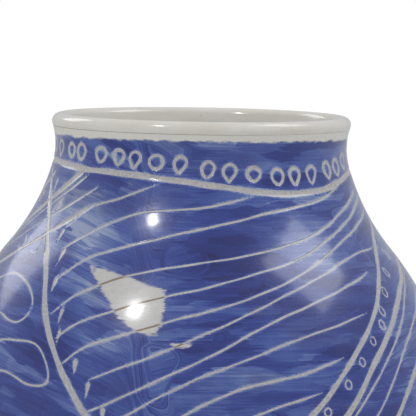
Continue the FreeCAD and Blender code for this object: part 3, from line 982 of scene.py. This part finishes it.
def bare_clay(name, tone):
    """Unglazed stoneware with grog, iron specks and turning lines."""
    paint = Paint(name)
    place = paint.place()
    cloud = paint.noise(paint.stretch(place, 12, 12, 6), 4.0, 0.6)
    grog = paint.noise(paint.stretch(place, 0.5, 0.5, 0.5), 3.0, 0.7)
    turning = paint.noise(paint.stretch(place, 40, 40, 0.6), 2.0)
    light = tuple(tone * c for c in srgb(214, 200, 174)[:3]) + (1.0,)
    dark = tuple(tone * c for c in srgb(184, 164, 132)[:3]) + (1.0,)
    colour = paint.blend(cloud, light, dark)
    colour = paint.blend(paint.span(grog, 0.58, 0.72, 0.0, 0.5), colour, srgb(158, 136, 104))
    specks = paint.span(paint.spots(paint.stretch(place, 3.2, 3.2, 3.2)), 0.09, 0.04)
    colour = paint.blend(paint.calc("MULTIPLY", specks, 0.6), colour, srgb(96, 72, 50))
    height = paint.calc("ADD", grog, paint.calc("MULTIPLY", turning, 1.6))
    gloss = paint.span(cloud, 0.2, 0.8, 0.68, 0.82)
    return paint.finish(Base_Color=colour, Roughness=gloss, IOR=1.45, Normal=paint.relief(height, 0.09))


# ---- building the pot ----------------------------------------------------------------------------------

def dress(piece, material, nodes):
    piece.data.materials.append(material)
    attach(piece, "root")
    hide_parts(*nodes)


def build_pot():
    coat_paint = painted_coat()
    for name, middle in SECTORS.items():
        piece = coat_sector("painted_coat_" + name, middle)
        dress(piece, coat_paint, ["blue_slip", "clear_glaze"])
    visible, hidden = liner_profile()
    liner = turned("white_liner_and_lip", visible, hidden, WOBBLING_ROWS)
    dress(liner, white_glaze(), ["liner_glaze"])
    visible, hidden = foot_profile()
    foot = turned("turned_foot", visible, hidden, 0)
    dress(foot, bare_clay("turned_clay", 1.0), ["foot_ring", "base_floor"])
    clay = bare_clay("covered_clay", 0.94)
    for name in ("lower_wall", "upper_wall", "neck_collar", "lip_roll"):
        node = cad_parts[name]
        node.data.materials.clear()
        node.data.materials.append(clay)


# ---- floor, light and camera ---------------------------------------------------------------------------

FLOOR_RADIUS = 0.62
FLOOR_DROP = 0.0004          # the floor lies this far under the foot, so that the two don't flicker


def make_floor():
    mesh = bpy.data.meshes.new("studio_floor")
    turns = np.linspace(0, 2 * math.pi, 96, endpoint=False)
    rim = [(FLOOR_RADIUS * math.cos(t), FLOOR_RADIUS * math.sin(t), -FLOOR_DROP) for t in turns]
    mesh.from_pydata(rim, [], [tuple(range(len(rim)))])
    floor = bpy.data.objects.new("studio_floor", mesh)
    bpy.context.scene.collection.objects.link(floor)
    paint = Paint("pale_floor")
    mottle = paint.noise(paint.stretch(paint.place(), 60, 60, 60), 2.0)
    mesh.materials.append(paint.finish(
        Base_Color=paint.blend(mottle, srgb(238, 238, 236), srgb(246, 246, 244)), Roughness=0.8))


LIT_POINT = (0, 0, 0.17)


def soft_box(name, direction, distance, size, radiance):
    """A square light that far from the lit point, which it faces.  radiance is its brightness by area."""
    light = bpy.data.lights.new(name, "AREA")
    light.shape = "SQUARE"
    light.size = size
    light.energy = radiance * math.pi * size ** 2
    lamp = bpy.data.objects.new(name, light)
    toward = mathutils.Vector(direction).normalized()
    lamp.location = mathutils.Vector(LIT_POINT) + toward * distance
    lamp.rotation_euler = toward.to_track_quat("Z", "Y").to_euler()
    bpy.context.scene.collection.objects.link(lamp)


def make_light():
    soft_box("key_front_left", (-0.43, -0.51, 0.75), 1.6, 0.13, 60)
    soft_box("fill_right_above", (0.60, 0.02, 0.80), 1.3, 0.6, 2.8)
    soft_box("back_left", (-0.70, 0.62, 0.55), 1.8, 0.7, 2.0)
    world = bpy.data.worlds.new("white_room")
    bpy.context.scene.world = world
    world.use_nodes = True
    tree = world.node_tree
    room = tree.nodes["Background"]
    room.inputs["Color"].default_value = (0.93, 0.95, 1.0, 1.0)
    room.inputs["Strength"].default_value = 0.52
    seen = tree.nodes.new("ShaderNodeBackground")
    seen.inputs["Color"].default_value = (1, 1, 1, 1)
    ray = tree.nodes.new("ShaderNodeLightPath")
    mixer = tree.nodes.new("ShaderNodeMixShader")
    tree.links.new(ray.outputs["Is Camera Ray"], mixer.inputs[0])
    tree.links.new(room.outputs[0], mixer.inputs[1])
    tree.links.new(seen.outputs[0], mixer.inputs[2])
    tree.links.new(mixer.outputs[0], tree.nodes["World Output"].inputs["Surface"])
    bpy.context.scene.view_settings.view_transform = "Standard"


CAMERA_DISTANCE = 1.2
CAMERA_RISE = math.radians(4.4)
CAMERA_ROLL = math.radians(1.0)
FRAME_WIDTH = 0.1382         # width of what the picture shows at that distance
AIM = (0.0025, 0.0, 0.1989)


def make_camera():
    camera = bpy.data.cameras.new("camera")
    camera.sensor_width = 36.0
    camera.lens = camera.sensor_width * CAMERA_DISTANCE / FRAME_WIDTH
    camera.clip_end = 50.0
    camera.dof.use_dof = False
    holder = bpy.data.objects.new("camera", camera)
    forward = mathutils.Vector((0, math.cos(CAMERA_RISE), -math.sin(CAMERA_RISE)))
    level = mathutils.Vector((1, 0, 0))
    above = level.cross(forward)
    right = level * math.cos(CAMERA_ROLL) + above * math.sin(CAMERA_ROLL)
    up = above * math.cos(CAMERA_ROLL) - level * math.sin(CAMERA_ROLL)
    turn = mathutils.Matrix((right, up, -forward)).transposed()
    holder.matrix_world = mathutils.Matrix.Translation(
        mathutils.Vector(AIM) - forward * CAMERA_DISTANCE) @ turn.to_4x4()
    bpy.context.scene.collection.objects.link(holder)
    bpy.context.scene.camera = holder


make_camera()
build_pot()
make_floor()
make_light()
